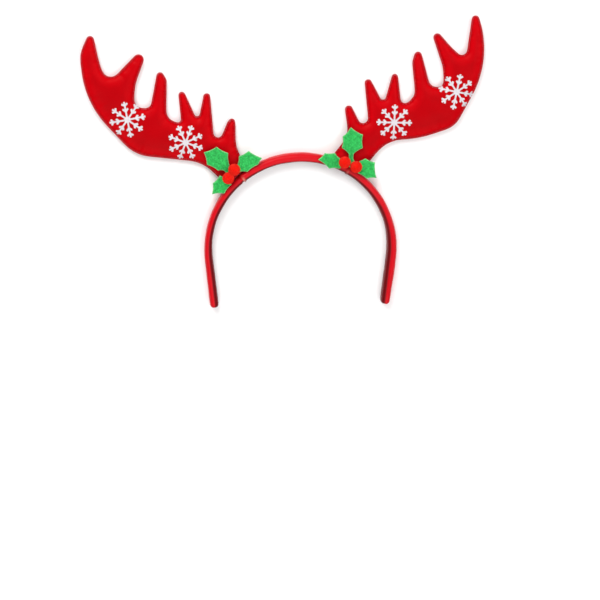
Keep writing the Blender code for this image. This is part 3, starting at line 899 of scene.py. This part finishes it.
def new_pattern(name, *amounts):
    """An empty node group that makes a height and a tone from a place and some amounts."""
    tree = bpy.data.node_groups.new(name, "ShaderNodeTree")
    tree.interface.new_socket("Vector", in_out="INPUT", socket_type="NodeSocketVector")
    for amount in amounts:
        tree.interface.new_socket(amount, in_out="INPUT", socket_type="NodeSocketFloat")
    for result in ("Height", "Tone"):
        tree.interface.new_socket(result, in_out="OUTPUT", socket_type="NodeSocketFloat")
    given = tree.nodes.new("NodeGroupInput").outputs
    return tree, given, tree.nodes.new("NodeGroupOutput").inputs


def tone_about_one(tree, value, spread):
    """One, more or less by a spread times how far a noise value is from its middle."""
    centred = add_node(tree, "ShaderNodeMath", {0: value, 1: 0.5}, operation="SUBTRACT")
    return add_node(tree, "ShaderNodeMath", {0: centred.outputs[0], 1: spread, 2: 1.0},
                    operation="MULTIPLY_ADD").outputs[0]


def satin_group():
    """Long floats of satin thread: a fine streaked relief and a little unevenness of tone."""
    found = bpy.data.node_groups.get("Satin threads")
    if found:
        return found
    tree, given, made = new_pattern("Satin threads", "Threads", "Unevenness")
    stretched = add_node(tree, "ShaderNodeVectorMath", {0: given["Vector"], 1: THREAD_STRETCH},
                         operation="MULTIPLY")
    threads = add_node(tree, "ShaderNodeTexNoise", {"Vector": stretched.outputs[0],
                                                    "Scale": given["Threads"], "Detail": 2.0})
    patches = add_node(tree, "ShaderNodeTexNoise", {"Vector": given["Vector"], "Scale": 90.0,
                                                    "Detail": 3.0})
    tone = tone_about_one(tree, patches.outputs["Fac"], given["Unevenness"])
    tree.links.new(threads.outputs["Fac"], made["Height"])
    tree.links.new(tone, made["Tone"])
    return tree


def fibre_group():
    """Matted fibres: a lumpy relief and flecks of lighter and darker tone."""
    found = bpy.data.node_groups.get("Matted fibres")
    if found:
        return found
    tree, given, made = new_pattern("Matted fibres", "Scale", "Contrast")
    coarse = add_node(tree, "ShaderNodeTexNoise", {"Vector": given["Vector"],
                                                   "Scale": given["Scale"], "Detail": 5.0,
                                                   "Roughness": 0.7, "Distortion": 1.5})
    tree.links.new(coarse.outputs["Fac"], made["Height"])
    tree.links.new(tone_about_one(tree, coarse.outputs["Fac"], given["Contrast"]), made["Tone"])
    return tree


def start_material(name, roughness, sheen, sheen_tint=(1.0, 1.0, 1.0), specular=0.5):
    material = bpy.data.materials.new(name)
    material.use_nodes = True
    shader = material.node_tree.nodes["Principled BSDF"]
    shader.inputs["Roughness"].default_value = roughness
    shader.inputs["Sheen Weight"].default_value = sheen
    shader.inputs["Sheen Roughness"].default_value = 0.35
    shader.inputs["Sheen Tint"].default_value = (*sheen_tint, 1.0)
    shader.inputs["Specular IOR Level"].default_value = specular
    return material, material.node_tree, shader


def own_place(tree):
    """Where a point lies on the object."""
    return add_node(tree, "ShaderNodeTexCoord").outputs["Object"]


def attribute(tree, name):
    return add_node(tree, "ShaderNodeAttribute", attribute_name=name).outputs["Fac"]


def pattern(tree, group, place, **amounts):
    """The height and the tone that one of the node groups makes at a place."""
    made = add_node(tree, "ShaderNodeGroup", {"Vector": place, **amounts}, node_tree=group)
    return made.outputs["Height"], made.outputs["Tone"]


def map_range(tree, value, low, high, at_low, at_high):
    """A number that goes from at_low to at_high while the value goes from low to high."""
    return add_node(tree, "ShaderNodeMapRange", {"Value": value, 1: low, 2: high, 3: at_low,
                                                 4: at_high}).outputs["Result"]


def product(tree, first, second):
    return add_node(tree, "ShaderNodeMath", {0: first, 1: second},
                    operation="MULTIPLY").outputs[0]


def blend(tree, share, first, second):
    """A colour that goes from the first to the second with a share."""
    return add_node(tree, "ShaderNodeMix", {"Factor": share, "A": first, "B": second},
                    data_type="RGBA").outputs["Result"]


def paint(tree, shader, colour, tone):
    """Give a shader a colour times a number that changes over the surface."""
    scaled = add_node(tree, "ShaderNodeVectorMath", {0: colour, "Scale": tone},
                      operation="SCALE")
    tree.links.new(scaled.outputs["Vector"], shader.inputs["Base Color"])


def add_bump(tree, shader, height, distance, strength=1.0):
    bump = add_node(tree, "ShaderNodeBump", {"Height": height, "Distance": distance,
                                             "Strength": strength})
    tree.links.new(bump.outputs["Normal"], shader.inputs["Normal"])


def antler_material(settings):
    material, tree, shader = start_material(
        "red_satin_antler", roughness=0.36, sheen=0.12, sheen_tint=(1.0, 0.02, 0.06),
        specular=0.03)
    threads, uneven = pattern(tree, satin_group(), own_place(tree), Threads=2600.0,
                              Unevenness=0.22)
    seam = attribute(tree, "seam")
    # Painted shade in the stitched groove by the edge, and a painted highlight on the swell inside
    # it that turns to painted shade over the flat middle
    groove_and_shade = map_range(tree, seam, low=0.9, high=2.0, at_low=0.80, at_high=1.0)
    painted_edge_light = map_range(tree, seam, low=2.0, high=9.0, at_low=1.12, at_high=0.88)
    paint(tree, shader, settings.satin, product(tree, uneven, product(tree, painted_edge_light, groove_and_shade)))
    add_bump(tree, shader, threads, 0.06 * MM)
    return material


def edge_material(settings):
    material, tree, shader = start_material(
        "red_satin_edge", roughness=0.5, sheen=0.10, sheen_tint=(1.0, 0.03, 0.06),
        specular=0.03)
    threads, uneven = pattern(tree, satin_group(), own_place(tree), Threads=2600.0,
                              Unevenness=0.3)
    # Painted shade: the sewn edge is a darker copy of the antlers' satin
    paint(tree, shader, [EDGE_PAINTED_SHADE * c for c in settings.satin], uneven)
    add_bump(tree, shader, threads, 0.08 * MM)
    return material


def thread_material(settings):
    material, tree, shader = start_material("stitch_thread", roughness=0.5, sheen=0.3)
    twist = add_node(tree, "ShaderNodeTexNoise", {"Vector": own_place(tree), "Scale": 1500.0})
    paint(tree, shader, settings.thread, twist.outputs["Fac"])
    add_bump(tree, shader, twist.outputs["Fac"], 0.05 * MM)
    return material


def band_material(settings):
    material, tree, shader = start_material(
        "red_satin_band", roughness=0.34, sheen=0.16, sheen_tint=(1.0, 0.08, 0.10),
        specular=0.12)
    place = add_node(tree, "ShaderNodeUVMap", uv_map="cloth").outputs["UV"]
    threads, uneven = pattern(tree, satin_group(), place, Threads=2400.0, Unevenness=0.2)
    # Painted shade: the inner face takes the dark colour in place of its shadow
    colour = blend(tree, attribute(tree, "inner_shade"), (*settings.satin, 1.0),
                   (*settings.inner_shade, 1.0))
    # Painted highlight along the tucks
    with_tuck_highlight = blend(tree, attribute(tree, "tuck"), colour, (*settings.fold_highlight, 1.0))
    paint(tree, shader, with_tuck_highlight, uneven)
    add_bump(tree, shader, threads, 0.06 * MM)
    return material


def snow_material(settings):
    material, tree, shader = start_material("white_print", roughness=0.55, sheen=0.0)
    flecks = add_node(tree, "ShaderNodeTexVoronoi", {"Vector": own_place(tree),
                                                     "Scale": 1800.0})
    tone = map_range(tree, flecks.outputs["Distance"], low=0.0, high=0.8, at_low=1.06,
                     at_high=0.78)
    rough = map_range(tree, flecks.outputs["Color"], low=0.0, high=1.0, at_low=0.30,
                      at_high=0.75)
    paint(tree, shader, settings.white, tone)
    tree.links.new(rough, shader.inputs["Roughness"])
    add_bump(tree, shader, flecks.outputs["Distance"], 0.10 * MM)
    return material


def felt_material(settings):
    material, tree, shader = start_material(
        "green_felt", roughness=0.95, sheen=0.35, sheen_tint=(0.75, 1.0, 0.75), specular=0.15)
    matted, flecks = pattern(tree, fibre_group(), own_place(tree), Scale=560.0, Contrast=3.2)
    pale = map_range(tree, attribute(tree, "rim"), low=0.15, high=0.9, at_low=1.0, at_high=0.0)
    # Painted shade in the pressed veins
    vein_shade = map_range(tree, attribute(tree, "vein"), low=0.0, high=1.0, at_low=1.0, at_high=0.84)
    colour = blend(tree, pale, (*settings.green, 1.0), (*FELT_RIM, 1.0))
    paint(tree, shader, colour, product(tree, flecks, vein_shade))
    add_bump(tree, shader, matted, 0.6 * MM)
    return material


def pompom_material(settings):
    material, tree, shader = start_material(
        "red_pompom", roughness=0.9, sheen=1.0, sheen_tint=(1.0, 0.12, 0.08), specular=0.05)
    _, flecks = pattern(tree, fibre_group(), own_place(tree), Scale=1500.0, Contrast=0.5)
    shade = map_range(tree, attribute(tree, "depth"), low=0.90, high=1.02, at_low=0.94,
                      at_high=1.0)
    paint(tree, shader, settings.red, product(tree, flecks, shade))
    return material


class HEADBAND_OT_band(Operator):
    """Make the padded satin band"""
    bl_idname = "headband.band"
    bl_label = "Band"

    def execute(self, context):
        settings = context.scene.headband_band
        obj = band_cover(settings)
        hand_over(obj, band_material(settings), "red_satin", "band")
        return {"FINISHED"}


class HEADBAND_OT_antlers(Operator):
    """Make both stuffed antlers with their sewn edges and stitches"""
    bl_idname = "headband.antlers"
    bl_label = "Antlers"

    def execute(self, context):
        settings = context.scene.headband_antlers
        satin, edge = antler_material(settings), edge_material(settings)
        thread = thread_material(settings)
        for side in ("left", "right"):
            outline = antler_outline(side, OUTLINE_STEP)
            body = antler_body(side, outline, settings)
            lip = antler_lip(side, settings)
            stitches = antler_stitches(side, surface_of(body, lip), settings)
            hand_over(body, satin, "red_satin", f"antler_{side}")
            hand_over(lip, edge, "red_satin")
            hand_over(stitches, thread, "red_satin")
        return {"FINISHED"}


class HEADBAND_OT_snowflakes(Operator):
    """Make the four raised snowflakes on the antlers"""
    bl_idname = "headband.snowflakes"
    bl_label = "Snowflakes"

    def execute(self, context):
        settings = context.scene.headband_snowflakes
        material = snow_material(settings)
        for flake in FLAKES:
            side = flake.antler
            antler = bpy.data.objects.get(f"antler_{side}_satin")
            if antler is None:
                raise RuntimeError("the antlers come before the snowflakes")
            edge = bpy.data.objects[f"antler_{side}_edge"]
            obj = snowflake(flake, surface_of(antler, edge), antler_outline(side, PRINT_EDGE_STEP),
                            settings)
            hand_over(obj, material, "white_print", f"snowflake_{side}_{flake.place}")
        return {"FINISHED"}


class HEADBAND_OT_holly(Operator):
    """Make the two felt sprigs"""
    bl_idname = "headband.holly"
    bl_label = "Holly"

    def execute(self, context):
        settings = context.scene.headband_holly
        material = felt_material(settings)
        for side in SPRIGS:
            obj, outline = holly(side, settings)
            hand_over(obj, material, "green_felt", f"holly_{side}")
        return {"FINISHED"}


class HEADBAND_OT_berries(Operator):
    """Make the four pompom berries"""
    bl_idname = "headband.berries"
    bl_label = "Berries"

    def execute(self, context):
        settings = context.scene.headband_berries
        material = pompom_material(settings)
        for name in BERRIES:
            hand_over(pompom(name, settings), material, "red_pompom", f"berry_{name}")
        return {"FINISHED"}


class HEADBAND_OT_stage(Operator):
    """Set the floor, the soft lights and the camera"""
    bl_idname = "headband.stage"
    bl_label = "Stage"

    def execute(self, context):
        settings = context.scene.headband_stage
        scene = context.scene
        scene.view_settings.view_transform = "Standard"
        bm = bmesh.new()
        bmesh.ops.create_grid(bm, x_segments=1, y_segments=1, size=FLOOR_HALF)
        bmesh.ops.translate(bm, verts=bm.verts[:], vec=(0.0, 0.0, -FLOOR_DROP))
        floor = add_object("floor", bm)
        material, tree, shader = start_material("floor_card", roughness=0.8, sheen=0.0,
                                                specular=0.2)
        shader.inputs["Base Color"].default_value = (*settings.floor, 1.0)
        floor.data.materials.append(material)

        back = Vector((-sin(settings.yaw) * cos(settings.pitch), sin(settings.pitch),
                       cos(settings.yaw) * cos(settings.pitch)))
        camera = bpy.data.cameras.new("camera")
        camera.sensor_width = SENSOR
        camera.lens = camera.sensor_width * settings.distance / settings.width
        eye = bpy.data.objects.new("camera", camera)
        right = (-back).cross(Vector((0.0, 1.0, 0.0))).normalized()
        up = right.cross(-back)
        turn = Matrix((right, up, back)).transposed().to_4x4()
        eye.matrix_world = Matrix.Translation(LOOK_AT + back * settings.distance) @ turn
        scene.collection.objects.link(eye)
        scene.camera = eye

        for lamp in LAMPS:
            light = bpy.data.lights.new(lamp.name, "AREA")
            light.size = lamp.size
            light.energy = lamp.power
            obj = bpy.data.objects.new(lamp.name, light)
            turn = Vector(lamp.place).to_track_quat("Z", "Y").to_matrix().to_4x4()
            obj.matrix_world = Matrix.Translation(lamp.place) @ turn
            scene.collection.objects.link(obj)
        world = bpy.data.worlds.new("studio")
        world.use_nodes = True
        background = world.node_tree.nodes["Background"]
        background.inputs["Color"].default_value = (1.0, 1.0, 1.0, 1.0)
        background.inputs["Strength"].default_value = WORLD_LIGHT
        scene.world = world
        return {"FINISHED"}


class HEADBAND_PT_panel(Panel):
    bl_label = "Headband"
    bl_idname = "HEADBAND_PT_panel"
    bl_space_type = "VIEW_3D"
    bl_region_type = "UI"
    bl_category = "Headband"

    def draw(self, context):
        for operator in OPERATORS:
            self.layout.operator(operator.bl_idname)


SETTINGS = {
    "headband_band": BandSettings,
    "headband_antlers": AntlerSettings,
    "headband_snowflakes": SnowflakeSettings,
    "headband_holly": HollySettings,
    "headband_berries": BerrySettings,
    "headband_stage": StageSettings,
}
OPERATORS = [HEADBAND_OT_stage, HEADBAND_OT_band, HEADBAND_OT_antlers, HEADBAND_OT_snowflakes,
             HEADBAND_OT_holly, HEADBAND_OT_berries]


def register():
    for name, group in SETTINGS.items():
        bpy.utils.register_class(group)
        setattr(bpy.types.Scene, name, PointerProperty(type=group))
    for operator in OPERATORS:
        bpy.utils.register_class(operator)
    bpy.utils.register_class(HEADBAND_PT_panel)


def unregister():
    bpy.utils.unregister_class(HEADBAND_PT_panel)
    for operator in reversed(OPERATORS):
        bpy.utils.unregister_class(operator)
    for name, group in SETTINGS.items():
        delattr(bpy.types.Scene, name)
        bpy.utils.unregister_class(group)


def main():
    register()
    bpy.ops.headband.stage()
    bpy.ops.headband.band()
    bpy.ops.headband.antlers()
    bpy.ops.headband.snowflakes()
    bpy.ops.headband.holly()
    bpy.ops.headband.berries()


if __name__ == "__main__":
    main()
